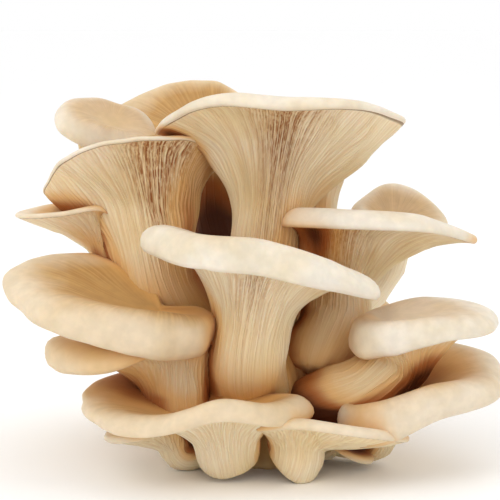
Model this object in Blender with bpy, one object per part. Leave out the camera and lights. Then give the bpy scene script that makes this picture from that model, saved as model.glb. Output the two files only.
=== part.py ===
"""Oyster mushroom cluster: overlapping fan-shaped mushrooms grown from one butt, as cut from the log.

Metres, +Z up.  The origin is the middle of the butt's cut face, which stands on the table.
-Y is the cluster's front, +X its right.  Every size below is in millimetres and becomes metres in place().
"""
import math

import bmesh
import bpy
import numpy as np
from mathutils import Vector

MM = 0.001

# The butt is the lump of grown-together stem bases, cut flat below.
BUTT_RADIUS = (31.0, 28.5)
BUTT_HEIGHT = 46.0
BUTT_CENTRE = (0.0, 1.5, 0.0)
BUTT_DOME = math.radians(83)
BUTT_FULLNESS = 0.6
BUTT_SIDES = 28
BUTT_RINGS = 8
BUTT_LUMP = 1.6
BUTT_LUMPS_ROUND = 5

# A mushroom stops this far off the butt's skin, and this far off a neighbour that it is pressed against.
SKIN_GAP = 0.35
PRESS_GAP = 0.4

# The share of each profile where its rings lie: up the stem, up the gilled flare, in over the cap.
# A long stem bends, and has a ring more.
STEM_RINGS = (0.0, 0.22, 1.0)
LONG_STEM = 50.0
LONG_STEM_RINGS = (0.0, 0.22, 0.62, 1.0)
FLARE_RINGS = (0.34, 0.6, 0.83, 1.0)
TOP_RINGS = (0.0, 0.5)

# How straight a stem leaves its foot and throat, and its rounded foot: the share of the stem's
# length that it takes up, and its width at the very end as a share of the stem's.
STEM_HANDLE = 0.4
FOOT_ROUND = 0.3
FOOT_WIDTH = 0.45

# How far in from the rim, as shares of the reach, the cap's rolled margin and its flat middle go.
ROLL_REACH = 0.25
DISH_REACH = 0.4

# A margin this thick is rounded: its lower edge is drawn in and its middle swells out, by these
# shares of its thickness, and a ring runs round that middle.
THICK_EDGE = 5.0
MARGIN_INSET = 0.35
MARGIN_SWELL = 0.2

# The step along a profile, as a share of it, over which its direction is measured.
TRACK_STEP = 0.01

# Faces that meet at less than this angle are shaded as one round skin.
SHARP_ANGLE = math.radians(50)

CAP_COLOUR = (0.72, 0.56, 0.37)
BUTT_COLOUR = (0.62, 0.5, 0.35)
FLESH_ROUGHNESS = 0.6

# Gill ridges: how far they stand out, as a share of their spacing, from the foot to the margin.
GILL_ON_STEM = (0.0, 0.10, 0.22)
GILL_ON_FLARE = (0.24, 0.24, 0.2, 0.05)


def unit(vectors):
    return vectors / np.linalg.norm(vectors, axis=-1, keepdims=True)


class Mushroom:
    """One fruit body.  foot and throat end its stem, whose two radii are given in stem.

    reach and lift shape the cap's rim round the throat, at eight points seen from above: right,
    back right, back, back left, left, front left, front and front right.
    up is the way the cap faces, rise the rim's height above the throat, dish how far the cap's middle
    lies below its rim, edge the flesh at the margin, roll how far the rim's upper side swells, slope
    the margin's climb in degrees, and tall and wide how far the underside's curve keeps to the stem's
    way at the throat and to the margin's at the rim.  From edge on they may differ round the cap.
    way is where the stem heads at the throat, if that isn't up.
    """

    def __init__(self, name, foot, throat, up, rise, reach, lift, stem, gills=18,
                 dish=8.0, roll=3.0, slope=5.0, edge=3.0, tall=0.55, wide=0.5, way=None):
        self.name = name
        self.foot = np.array(foot, float)
        self.throat = np.array(throat, float)
        self.up = unit(np.array(up, float))
        self.rise = rise
        self.reach = reach
        self.lift = lift
        self.foot_radius, self.throat_radius = stem
        self.gills = gills
        self.dish = dish
        self.roll = roll
        self.slope = slope
        self.edge = edge
        self.tall = tall
        self.wide = wide
        self.way = unit(np.array(way, float)) if way else self.up
        self.lipped = np.max(edge) >= THICK_EDGE


MUSHROOMS = (
    Mushroom("crown_mushroom", foot=(3, 2, 32), throat=(6, 5, 75), up=(0.12, 0.05, 1.0), rise=48,
             reach=(44, 40, 33, 36, 45, 38, 33, 40), lift=(1, -1, 1, -5, -13, -0.5, 1.5, 5.5),
             stem=(12, 12.5), gills=24, dish=1, roll=3, edge=(2.5, 2, 2, 2, 2.5, 4.5, 4.9, 3.5),
             slope=(66, 40, 8, 8, 8, 8, 8, 36), tall=(0.6, 0.5, 0.6, 0.6, 0.6, 0.6, 0.6, 0.55),
             wide=(0.74, 0.6, 0.42, 0.42, 0.42, 0.42, 0.42, 0.55)),
    Mushroom("front_mushroom", foot=(1, -14, 18), throat=(-1, -29, 49), up=(0.17, 0.0, 1.0), rise=24,
             reach=(39, 26, 14, 26, 38, 35, 30, 35), lift=(-4, -2, -2, -1, -1, -1, 1, -1),
             stem=(13, 13.5), gills=22, dish=3, edge=(5, 4, 3, 4, 7, 8, 8.5, 7.5),
             roll=(3, 2, 1, 2, 5, 7, 8, 6), slope=-20),
    Mushroom("upper_left_mushroom", foot=(-13, 4, 30), throat=(-34, 6, 66), up=(-0.2, 0.28, 1.0),
             rise=36, reach=(30, 20, 13, 18, 33, 36, 30, 30), lift=(-2, -4, -5, -3, -2, 4, 6, 4),
             stem=(12, 14.5), gills=22, dish=6, edge=1.8, roll=2.5,
             slope=(20, 20, 20, 30, 60, 38, 22, 20), tall=(0.6, 0.5, 0.5, 0.4, 0.3, 0.4, 0.5, 0.55),
             wide=0.35),
    Mushroom("top_left_mushroom", foot=(-12, 22, 32), throat=(-59, 41, 97), up=(0.36, -0.5, 1.0),
             rise=20, reach=(19, 15, 12, 14, 20, 19, 14, 17), lift=(-2, 0, 0, 0, 0, 0, 0, 0),
             stem=(7.5, 7.5), gills=12, dish=-5, edge=4, roll=5, slope=-20),
    Mushroom("top_rear_mushroom", foot=(2, 24, 36), throat=(-14, 45, 98), up=(0.0, -0.4, 1.0), rise=22,
             reach=(13, 17, 23, 33, 39, 30, 19, 13), lift=(-2, 1, 3, 1, -2, -3, -3, -3),
             stem=(10.5, 10), gills=13, dish=8, edge=2.5, roll=2),
    Mushroom("rear_right_mushroom", foot=(9, 20, 34), throat=(27, 38, 88), up=(0.1, 0.2, 1.0), rise=18,
             reach=(10, 15, 20, 19, 15, 11, 9, 9), lift=0, stem=(7, 7.5), gills=11, dish=4),
    Mushroom("rear_mushroom", foot=(4, 24, 27), throat=(4, 43, 54), up=(0.0, 0.35, 1.0), rise=17,
             reach=(27, 28, 26, 26, 25, 18, 12, 18), lift=(0, 0, -1, 0, 0, 0, 0, 0), stem=(8, 8.5),
             gills=13, dish=4),
    Mushroom("rear_left_mushroom", foot=(-9, 23, 22), throat=(-31, 39.5, 43.5), up=(-0.15, 0.3, 1.0),
             rise=16, reach=(15, 20, 25, 27, 24, 16, 11, 12), lift=(0, 0, 0, 1, 0, 0, 0, 0),
             stem=(7.5, 8), gills=11, dish=4),
    Mushroom("rear_lower_mushroom", foot=(14, 22, 17), throat=(30, 39, 33), up=(0.1, 0.3, 1.0), rise=15,
             reach=(21, 26, 27, 22, 16, 11, 10, 13), lift=(0, 1, 0, 0, 0, 0, 0, 0), stem=(7.5, 8),
             gills=11, dish=3),
    Mushroom("rear_low_mushroom", foot=(-4, 25, 9), throat=(-7, 40, 13), up=(0.0, 0.3, 1.0), rise=12,
             reach=(26, 25, 22, 26, 29, 18, 11, 16), lift=0, stem=(7.5, 8.5), gills=11, dish=2,
             roll=2.5, tall=0.35),
    Mushroom("small_left_mushroom", foot=(-22, 12, 24), throat=(-52, 8, 69.5), up=(-0.1, 0.0, 1.0),
             rise=19, reach=(7, 7, 9, 20, 31, 21, 12, 8), lift=(-7, -7, -2, 0, 0, 0, 0, -6),
             stem=(6, 6), gills=11, dish=2, edge=1.8, roll=1.5, slope=(5, 5, 5, 10, 30, 20, 10, 5),
             tall=0.3),
    Mushroom("left_shelf_mushroom", foot=(-14, -8, 22), throat=(-34, -17, 40), up=(0.13, -0.3, 1.0),
             rise=17, reach=(16, 11, 11, 40, 53, 41, 26, 22), lift=(-8, -6, -4, 2, 2, 1, -4, -7),
             stem=(9, 9.5), gills=18, dish=1, edge=(8, 3.5, 3, 3, 3.5, 6, 9, 9),
             roll=(4, 2, 2, 3, 5, 9, 11, 8), slope=(-30, -10, 0, -5, -10, -28, -36, -36), wide=0.3),
    Mushroom("lower_left_mushroom", foot=(-18, -17, 12), throat=(-26, -23, 27), up=(-0.02, 0.0, 1.0),
             rise=15, reach=(14, 13, 14, 30, 43, 32, 20, 16), lift=(0, -2, 0, -3, -5, -3, 5, 4),
             stem=(11, 12.5), gills=16, dish=5, edge=(3, 3, 3, 5, 8, 7, 4, 3),
             roll=(2, 2, 2, 3, 4, 4, 2, 2), slope=(-5, -5, -5, -10, -25, -20, 0, 0), tall=0.4),
    Mushroom("bottom_left_mushroom", foot=(-7, -35, 5.5), throat=(-8, -39, 13), up=(-0.1, -0.05, 1.0),
             rise=13, reach=(27, 13, 13, 44, 47, 36, 27, 26), lift=(-6, -3, 0, 5, 2, -1, 2, -4),
             stem=(10, 12), gills=17, dish=5, edge=(6, 3, 3, 3, 3.5, 4.5, 5.5, 6.5),
             roll=(3, 2, 1, 2, 2, 3, 4, 3), slope=(-15, -10, 0, 5, -5, -15, -18, -18), tall=0.4,
             wide=0.4),
    Mushroom("bottom_right_mushroom", foot=(15, -36, 5.8), throat=(16.5, -38, 10), up=(0.08, 0.2, 1.0),
             rise=9, reach=(36, 22, 13, 12, 14, 20, 23, 33), lift=(-3, -1, 0, -2, -3, -3, -1, -2),
             stem=(9, 10), gills=16, dish=1, edge=3.5, roll=2, slope=(15, 5, 0, 0, 0, 0, 5, 10),
             tall=(0.15, 0.3, 0.5, 0.6, 0.7, 0.6, 0.4, 0.2), wide=0.3),
    Mushroom("lower_right_mushroom", foot=(21, -10, 8), throat=(45, -22, 12), up=(-0.1, -0.3, 1.0),
             rise=15, reach=(44, 42, 27, 12, 12, 16, 23, 32), lift=(-1, 0, 2, -3, -8, -9.5, -5, 2),
             stem=(6.5, 7.5), gills=17, dish=4, edge=(5, 3.5, 3, 3.5, 6.5, 9, 9.5, 8),
             roll=(4, 2, 2, 2, 4, 8, 10, 9), slope=(-20, -10, -5, -5, -12, -24, -32, -30), tall=0.3),
    Mushroom("right_mushroom", foot=(15, -20, 20), throat=(50, -26, 36), way=(0.7, -0.1, 0.7),
             up=(-0.18, -0.25, 1.0), rise=11, reach=(38, 28, 20, 13, 12, 13.5, 16, 24),
             lift=(-1, 1, 0, 0, -1, -1, 1.5, 4.5), stem=(9.5, 10.5), gills=17, dish=-8,
             edge=(4, 4, 4.5, 6, 8, 8.5, 7, 5), roll=(4, 3, 3, 4, 6, 7, 7, 5),
             slope=(-15, -10, -5, -10, -20, -25, -25, -20), tall=0.4),
    Mushroom("upper_right_mushroom", foot=(22, -10, 30), throat=(31, 5, 55), up=(0.05, 0.06, 1.0),
             rise=27, reach=(49, 35, 19, 18, 19, 27, 32, 41), lift=(-4, -1, 0, 0, -2, 0, 1, 1),
             stem=(14.5, 13.5), gills=20, dish=3, edge=(3, 3, 3, 3.5, 4, 5, 5, 4.5),
             roll=(3, 3, 2, 3, 4, 6, 6, 5), slope=-5),
    Mushroom("small_right_mushroom", foot=(16, 24, 30), throat=(54, 46, 66), up=(0.1, -0.3, 1.0),
             rise=17, reach=(20, 18, 17, 16, 15, 12, 10, 14), lift=(-4, 0, 2, 0, -2, -2, -2, -2),
             stem=(7, 7), gills=12, dish=3, edge=2.5, roll=2.5, slope=-5),
    Mushroom("low_left_mushroom", foot=(-15, -22, 8.6), throat=(-26, -28, 8.6), up=(-0.3, -0.1, 1.0),
             rise=9, reach=(9, 10, 14, 19, 22, 16, 9, 8.5), lift=0, stem=(5, 6), gills=10, dish=1,
             edge=2.5, roll=1.5, tall=0.12, wide=0.15),
    Mushroom("low_right_mushroom", foot=(19, -16, 6), throat=(28, -23, 6), up=(0.5, -0.2, 1.0), rise=4,
             reach=(14, 10, 7, 5.5, 5.5, 6, 8, 12), lift=0, stem=(3.5, 3.2), gills=10, dish=0.5, edge=2,
             roll=1, tall=0.3),
)

# The first mushroom of each pair grew pressed against the second, and keeps its print.
PRESSED = (
    ("upper_left_mushroom", "crown_mushroom"),
    ("upper_right_mushroom", "crown_mushroom"),
    ("rear_right_mushroom", "crown_mushroom"),
    ("top_rear_mushroom", "crown_mushroom"),
    ("top_left_mushroom", "upper_left_mushroom"),
    ("top_rear_mushroom", "top_left_mushroom"),
    ("small_right_mushroom", "upper_right_mushroom"),
    ("rear_right_mushroom", "upper_right_mushroom"),
    ("small_left_mushroom", "upper_left_mushroom"),
    ("left_shelf_mushroom", "upper_left_mushroom"),
    ("left_shelf_mushroom", "small_left_mushroom"),
    ("left_shelf_mushroom", "front_mushroom"),
    ("lower_left_mushroom", "left_shelf_mushroom"),
    ("lower_left_mushroom", "front_mushroom"),
    ("bottom_left_mushroom", "lower_left_mushroom"),
    ("bottom_left_mushroom", "front_mushroom"),
    ("bottom_left_mushroom", "left_shelf_mushroom"),
    ("bottom_right_mushroom", "bottom_left_mushroom"),
    ("bottom_right_mushroom", "lower_right_mushroom"),
    ("lower_right_mushroom", "right_mushroom"),
    ("lower_right_mushroom", "upper_right_mushroom"),
    ("bottom_right_mushroom", "right_mushroom"),
    ("right_mushroom", "upper_right_mushroom"),
    ("low_left_mushroom", "lower_left_mushroom"),
    ("low_left_mushroom", "bottom_left_mushroom"),
    ("low_right_mushroom", "lower_right_mushroom"),
    ("low_right_mushroom", "bottom_right_mushroom"),
    ("rear_left_mushroom", "top_left_mushroom"),
    ("rear_left_mushroom", "top_rear_mushroom"),
    ("rear_lower_mushroom", "small_right_mushroom"),
    ("rear_mushroom", "rear_right_mushroom"),
    ("rear_mushroom", "top_rear_mushroom"),
    ("rear_low_mushroom", "rear_left_mushroom"),
    ("rear_low_mushroom", "rear_mushroom"),
)


def compass_value(values, turn):
    """The smooth closed curve through eight compass values, read at each turn (0 right, 0.25 back)."""
    values = np.array(values, float) * np.ones(8)
    count = len(values)
    place = (np.asarray(turn) % 1.0) * count
    before = np.floor(place).astype(int)
    share = place - before
    a, b, c, d = (values[(before + step) % count] for step in (-1, 0, 1, 2))
    return b + 0.5 * share * (c - a + share * (2 * a - 5 * b + 4 * c - d + share * (3 * (b - c) + d - a)))


def bezier(points, share):
    """A point on the cubic Bezier through four control points, which may be arrays of points."""
    a, b, c, d = points
    rest = 1.0 - share
    return a * rest ** 3 + 3 * b * rest ** 2 * share + 3 * c * rest * share ** 2 + d * share ** 3


def cap_axes(m):
    """The cap's own right, back and up."""
    right = unit(np.array((1.0, 0.0, 0.0)) - m.up[0] * m.up)
    return right, np.cross(m.up, right), m.up


def tilted(vector, start, end):
    """The vectors turned with the shortest turn that brings one unit direction onto another."""
    axis = np.cross(start, end)
    once = np.cross(axis, vector)
    return vector + once + np.cross(axis, once) / (1 + np.dot(start, end))


def stem_ring(m, turn, share):
    """A ring of the stem, share 0 at the foot to 1 at the throat."""
    right, back, up = cap_axes(m)
    length = np.linalg.norm(m.throat - m.foot)
    handle = STEM_HANDLE * length
    heading = (m.throat - m.foot) / length
    curve = (m.foot, m.foot + heading * handle, m.throat - m.way * handle, m.throat)
    centre = bezier(curve, share)
    along = unit(bezier(curve, share + TRACK_STEP) - bezier(curve, share - TRACK_STEP))
    radius = m.throat_radius + (m.foot_radius - m.throat_radius) * (1 - share) ** 2
    if share < FOOT_ROUND:
        radius *= FOOT_WIDTH + (1 - FOOT_WIDTH) * math.sqrt(1 - (1 - share / FOOT_ROUND) ** 2)
    angle = 2 * math.pi * turn[:, None]
    outward = tilted(right, up, along) * np.cos(angle) + tilted(back, up, along) * np.sin(angle)
    return centre + outward * radius, outward


def rim(m, turn):
    """The margin's lower edge, the ways outwards there, and its flesh from the lower to the upper edge."""
    right, back, up = cap_axes(m)
    angle = 2 * math.pi * turn[:, None]
    outward = right * np.cos(angle) + back * np.sin(angle)
    reach = compass_value(m.reach, turn)[:, None]
    height = m.rise + compass_value(m.lift, turn)[:, None]
    edge = compass_value(m.edge, turn)[:, None]
    slope = np.radians(compass_value(m.slope, turn))[:, None]
    along = outward * np.cos(slope) + up * np.sin(slope)
    thick = up * np.cos(slope) - outward * np.sin(slope)
    inset = edge * MARGIN_INSET if m.lipped else 0.0
    margin = m.throat + outward * reach + up * height - along * inset
    return margin, outward, along, thick * edge, reach


def flare_ring(m, turn, share):
    """A ring of the gilled underside, share 0 at the throat to 1 at the margin, and its skin's normal."""
    right, back, up = cap_axes(m)
    margin, outward, along, _, reach = rim(m, turn)
    neck = m.throat + tilted(outward, up, m.way) * m.throat_radius
    climb = np.dot(margin - m.throat, up)[:, None]
    tall = compass_value(m.tall, turn)[:, None]
    wide = compass_value(m.wide, turn)[:, None]
    curve = (neck, neck + m.way * climb * tall, margin - along * (reach - m.throat_radius) * wide, margin)
    track = unit(bezier(curve, share + TRACK_STEP) - bezier(curve, share - TRACK_STEP))
    angle = 2 * math.pi * turn[:, None]
    around = back * np.cos(angle) - right * np.sin(angle)
    return bezier(curve, share), np.cross(around, track)


def lip_ring(m, turn, grow=0.0):
    """The ring round the middle of a thick margin, where it swells out farthest."""
    margin, _, along, flesh, _ = rim(m, turn)
    swell = np.linalg.norm(flesh, axis=1, keepdims=True) * MARGIN_SWELL
    return margin + flesh * 0.5 + along * (swell + grow)


def top_ring(m, turn, share, grow=0.0):
    """A ring of the cap's upper side, share 0 at the margin's upper edge to 1 at the middle."""
    margin, outward, along, flesh, reach = rim(m, turn)
    edge = margin + flesh + (unit(flesh) + along) * grow
    middle = m.throat + m.up * (m.rise - m.dish + grow)
    shoulder = edge - along * reach * ROLL_REACH + m.up * compass_value(m.roll, turn)[:, None]
    return bezier((edge, shoulder, middle + outward * reach * DISH_REACH, middle + 0 * edge), share)


def mushroom_rings(m, turn, grow=0.0):
    """Every ring of the mushroom's skin from the foot up over the margin, gill ridges included."""
    ridge = np.where(np.arange(len(turn)) % 2, -1.0, 1.0)[:, None]
    if grow:
        ridge = np.ones_like(ridge)
    rings = []
    long_stem = np.linalg.norm(m.throat - m.foot) > LONG_STEM
    for share in LONG_STEM_RINGS if long_stem else STEM_RINGS:
        relief = np.interp(share, STEM_RINGS, GILL_ON_STEM)
        ring, normal = stem_ring(m, turn, share)
        rings.append(ring + normal * (ridge * relief * 0.5 * spacing(ring) + grow))
    for share, relief in zip(FLARE_RINGS, GILL_ON_FLARE):
        ring, normal = flare_ring(m, turn, share)
        rings.append(ring + normal * (ridge * relief * 0.5 * spacing(ring) + grow))
    if m.lipped:
        rings.append(lip_ring(m, turn, grow))
    rings += [top_ring(m, turn, share, grow) for share in TOP_RINGS]
    return rings


def spacing(ring):
    """The distance from ridge to ridge round a ring, point by point."""
    step = np.linalg.norm(np.roll(ring, -1, axis=0) - ring, axis=1)
    return (step + np.roll(step, 1))[:, None]


def place(point, origin=(0.0, 0.0, 0.0)):
    """A point in metres, measured from an origin."""
    return Vector(float(value - start) * MM for value, start in zip(point, origin))


def drum(sides, rings):
    """A closed drum cut into rings, its vertices listed ring by ring, with the two end points last."""
    shape = bmesh.new()
    bmesh.ops.create_cone(shape, cap_ends=True, cap_tris=True, segments=sides, radius1=1, radius2=1, depth=2)
    upright = [edge for edge in shape.edges if abs(edge.verts[0].co.z - edge.verts[1].co.z) > 1]
    bmesh.ops.subdivide_edges(shape, edges=upright, cuts=rings - 2, use_grid_fill=True)
    ends = sorted((v for v in shape.verts if v.co.xy.length < 0.5), key=lambda v: v.co.z)
    skin = [[None] * sides for _ in range(rings)]
    for vertex in shape.verts:
        if vertex in ends:
            continue
        level = round((vertex.co.z + 1) / 2 * (rings - 1))
        column = round(math.atan2(-vertex.co.x, vertex.co.y) / (2 * math.pi) * sides) % sides
        skin[level][column] = vertex
    return shape, skin, ends


def add_object(name, shape, origin, collection, material):
    mesh = bpy.data.meshes.new(name)
    shape.to_mesh(mesh)
    shape.free()
    mesh.materials.append(material)
    mesh.shade_smooth()
    mesh.set_sharp_from_angle(angle=SHARP_ANGLE)
    made = bpy.data.objects.new(name, mesh)
    made.location = place(origin)
    collection.objects.link(made)
    return made


def make_mushroom(m, name, collection, material, grow=0.0):
    """One mushroom: a drum pulled onto its skin, from the foot over the margin to the cap's middle.

    Its sides are the gills' crests and valleys.  One that is grown by a gap, to press its print into
    a neighbour, stands out to the crests all round.
    """
    sides = 2 * m.gills
    turn = np.arange(sides) / sides
    rings = mushroom_rings(m, turn, grow)
    shape, skin, (low_end, high_end) = drum(sides, len(rings))
    for row, ring in zip(skin, rings):
        for vertex, point in zip(row, ring):
            vertex.co = place(point, m.foot)
    low_end.co = (0, 0, 0)
    high_end.co = place(m.throat + m.up * (m.rise - m.dish + grow), m.foot)
    return add_object(name, shape, m.foot, collection, material)


def make_butt(name, collection, material, grow=0.0):
    """The butt: a low lumpy dome with a flat cut face, grown outwards by a gap when it serves as a cutter."""
    shape, skin, (low_end, high_end) = drum(BUTT_SIDES, BUTT_RINGS)
    for level, row in enumerate(skin):
        climb = level / (BUTT_RINGS - 1) * BUTT_DOME
        waist = math.cos(climb) ** BUTT_FULLNESS
        height = (BUTT_HEIGHT + grow) * math.sin(climb) if level else -grow
        for column, vertex in enumerate(row):
            angle = 2 * math.pi * column / BUTT_SIDES
            lump = BUTT_LUMP * math.sin(BUTT_LUMPS_ROUND * angle + 2 * climb)
            width, depth = ((radius + lump + grow) * waist for radius in BUTT_RADIUS)
            vertex.co = place((width * math.cos(angle), depth * math.sin(angle), height))
    low_end.co = place((0, 0, -grow))
    high_end.co = place((0, 0, BUTT_HEIGHT + grow))
    return add_object(name, shape, BUTT_CENTRE, collection, material)


def flesh_material(name, colour):
    material = bpy.data.materials.new(name)
    material.use_nodes = True
    shader = material.node_tree.nodes["Principled BSDF"]
    shader.inputs["Base Color"].default_value = (*colour, 1.0)
    shader.inputs["Roughness"].default_value = FLESH_ROUGHNESS
    shader.inputs["Metallic"].default_value = 0.0
    return material


def clear_scene():
    for left in list(bpy.data.objects):
        bpy.data.objects.remove(left)


def new_collection(name):
    made = bpy.data.collections.new(name)
    bpy.context.scene.collection.children.link(made)
    return made


def trim(made, cutter, solver="EXACT"):
    """Cuts one piece back from another.  EXACT loses some of the prints, which MANIFOLD makes."""
    cut = made.modifiers.new("trim_to_" + cutter.name, "BOOLEAN")
    cut.operation = "DIFFERENCE"
    cut.solver = solver
    cut.object = cutter


def main():
    clear_scene()
    cluster = new_collection("oyster_mushroom_cluster")
    cutters = new_collection("cutters")
    cap_flesh = flesh_material("mushroom_flesh", CAP_COLOUR)
    butt_flesh = flesh_material("butt_flesh", BUTT_COLOUR)
    make_butt("butt", cluster, butt_flesh)
    cutter = {"butt": make_butt("butt_clearance", cutters, butt_flesh, SKIN_GAP)}
    grown = {name for _, name in PRESSED}
    made = {}
    for m in MUSHROOMS:
        made[m.name] = make_mushroom(m, m.name, cluster, cap_flesh)
        trim(made[m.name], cutter["butt"])
        if m.name in grown:
            cutter[m.name] = make_mushroom(m, m.name + "_clearance", cutters, cap_flesh, PRESS_GAP)
    for pressed, against in PRESSED:
        trim(made[pressed], cutter[against], "MANIFOLD")
    for tool in cutter.values():
        tool.hide_render = True
        tool.display_type = "WIRE"


main()
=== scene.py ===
"""Looks of the oyster mushroom cluster: every mushroom with its fine gills, rolled margin and skin.

The mushrooms' own sizes are in millimetres and become metres when a skin is placed.
The frame is the CAD model's: +Z up, -Y towards the side that the photograph shows, +X to its right.
"""
import math

import bmesh
import bpy
import numpy as np
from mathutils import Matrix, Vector
from mathutils.bvhtree import BVHTree


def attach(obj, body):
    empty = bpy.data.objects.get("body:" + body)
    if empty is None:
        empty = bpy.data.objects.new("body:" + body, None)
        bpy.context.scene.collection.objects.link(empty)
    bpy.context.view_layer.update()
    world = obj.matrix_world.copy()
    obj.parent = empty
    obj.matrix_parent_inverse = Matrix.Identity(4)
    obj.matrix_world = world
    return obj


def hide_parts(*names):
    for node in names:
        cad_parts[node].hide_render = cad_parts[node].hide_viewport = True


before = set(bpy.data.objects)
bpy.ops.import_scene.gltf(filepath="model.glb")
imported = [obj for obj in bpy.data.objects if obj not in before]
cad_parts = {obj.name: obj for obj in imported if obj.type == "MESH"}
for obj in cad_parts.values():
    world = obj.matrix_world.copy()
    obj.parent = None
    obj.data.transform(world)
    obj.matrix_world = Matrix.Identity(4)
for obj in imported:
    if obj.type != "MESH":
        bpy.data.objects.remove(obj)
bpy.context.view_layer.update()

MM = 0.001
SEED = 7

# The photograph's view: a long lens a little above the table, looking along +Y.
CAMERA_DISTANCE = 0.620
CAMERA_TARGET = Vector((0.0, 0.0, 0.074))
CAMERA_HEIGHT = math.radians(8)
CAMERA_LENS = 124.0

FLOOR_RADIUS = 12.0

# Fine gills: their spacing at the margin, closest on the big caps in front, and the columns on each.
GILL_SPACING = 1.55
CLOSE_SPACING = 1.3
WIDE_SPACING = 1.9
GILL_COLUMNS = 4

# Gill depth in millimetres along the course, which runs -1 foot, 0 throat, 1 margin.
GILL_COURSE = (-1.0, -0.75, -0.35, 0.0, 0.3, 0.8, 0.93, 0.985, 1.0)
GILL_DEPTH = (0.0, 0.1, 0.25, 0.5, 0.72, 0.65, 0.45, 0.1, 0.0)

# Long gills run from the foot. Short ones begin between them, farther out: the halfway ones, then the rest.
LONG_GILL_START = -9.0
HALF_GILL_START = (-0.15, 0.25)
SHORT_GILL_START = (0.3, 0.7)
GILL_FADE_IN = 0.12

# How much the gills vary in height, how far each is off its place in spacings, how steep their sides
# are, and the share of a gill's depth that lies above the smooth skin.
GILL_HEIGHTS = (0.75, 1.0)
GILL_SHIFT = 0.16
GILL_STEEPNESS = 2.2
GILL_RAISED = 0.35

# The gills' lazy, lively and crisp bends: how far in spacings, waves round the cap, and waves along it.
GILL_BENDS = ((0.7, 3, 4), (0.35, 11, 9), (0.1, 29, 23))

# Shares of each profile where the mesh has its rings.
FOOT_SHARES = (0.0, 0.01, 0.03, 0.06, 0.1, 0.15, 0.22)
STEM_SHARES = tuple(np.linspace(0.3, 1.0, 9))
FLARE_SHARES = tuple(np.linspace(0.0, 1.0, 27)[1:])
MARGIN_SHARES = (0.15, 0.32, 0.5, 0.68, 0.85)
TOP_SHARES = tuple(np.linspace(0.0, 1.0, 11)[:-1] ** 1.2)

# The stem's curve handles as a share of its length, how far up its foot rounds out, and from what width.
STEM_HANDLE = 0.4
FOOT_ROUND = 0.3
FOOT_WIDTH = 0.45

# Where the cap's upper skin heads for, in shares of its reach: in from the margin, and out from the middle.
ROLL_REACH = 0.25
DISH_REACH = 0.4

# How far along a curve its direction is measured, as a share of the whole.
TRACK_STEP = 0.01

# The margin's flesh: how far it is drawn in, as a share of its thickness, before it rounds out again.
MARGIN_INSET = 0.35
MARGIN_BULGE = 0.75
LIP_DROP = 0.22

# The course goes on from 1 at the gills' end to this at the margin's upper edge, and by 1 more to the middle.
UPPER_EDGE_COURSE = 1.2

# Where along the course the folds across the margin lie, and how far they reach along it.
CREASE_COURSE = 1.15
CREASE_LENGTH = 0.16

# Where along the course a stain begins, and how long it takes to come in.
STAIN_START = -0.2
STAIN_FADE_IN = 0.7

# The soft unevenness of grown flesh: wavelengths and heights in millimetres, and waves of each kind.
SWELL_WAVES = ((38, 0.55), (27, 0.4), (19, 0.28), (13, 0.16), (9, 0.08))
SWELL_REPEATS = 3

# Fibres and rays follow the skin: round this radius in millimetres, and along the course.
STREAK_RADIUS = 18.0

# Colour patterns, so many to a metre: patches about 25 mm across, skin specks of 4, butt blotches of 17.
SKIN_PATCHES = 45.0
SKIN_SPECKS = 260.0
GILL_PATCHES = 38.0
BUTT_BLOTCHES = 60.0

# Patterns on the streaks, so many to a millimetre round the cap: finer in life than the render can show.
SKIN_RAYS = 1.3
GILL_FIBRES = 1.6
GILL_DASHES = 1.9

# Painted shade on flesh that its neighbours shut in: from and to how shut in, how fully, and the shade's
# colour.
CREVICE_SHADE_COLOURS = ((0.18, 0.46, 0.7, "#DFAD66"), (0.42, 0.66, 0.88, "#A05218"), (0.62, 0.84, 0.9, "#3C1204"))

# A Map Range node takes its value and two ranges as inputs 0 to 4. A Mix node of colours takes its share
# as input 0 and its colours as 6 and 7, and gives output 2.
SOFT = {"interpolation_type": "SMOOTHSTEP"}
COLOURS = {"data_type": "RGBA"}

# The butt's size and place, the point that it swells away from, and how far its dome closes and how full.
BUTT_RADIUS = (31.0, 28.5)
BUTT_HEIGHT = 46.0
BUTT_CENTRE = (0.0, 1.5, 0.0)
BUTT_HEART = (0.0, 0.0, 10.0)
BUTT_DOME = math.radians(88)
BUTT_FULLNESS = 0.6
BUTT_COLUMNS = 240
BUTT_RINGS = 36

# The butt's lumps, then the ribs of the stems that ran together: height, number round it, and twist.
BUTT_LUMPS = ((1.6, 5, 2), (0.7, 13, 3), (0.35, 31, -4))

# The coarse copy of the cluster against which crevices are found for the painted shade: every so many rings
# and columns, feelers this far off the skin, this long, this many to each point, and so many rounds of
# smoothing.
CREVICE_RINGS = 3
CREVICE_COLUMNS = 6
CREVICE_START = 1.3
CREVICE_REACH = 34.0
CREVICE_FEELERS = 22
CREVICE_SMOOTHING = 2


def unit(vectors):
    return vectors / np.linalg.norm(vectors, axis=-1, keepdims=True)


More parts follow.
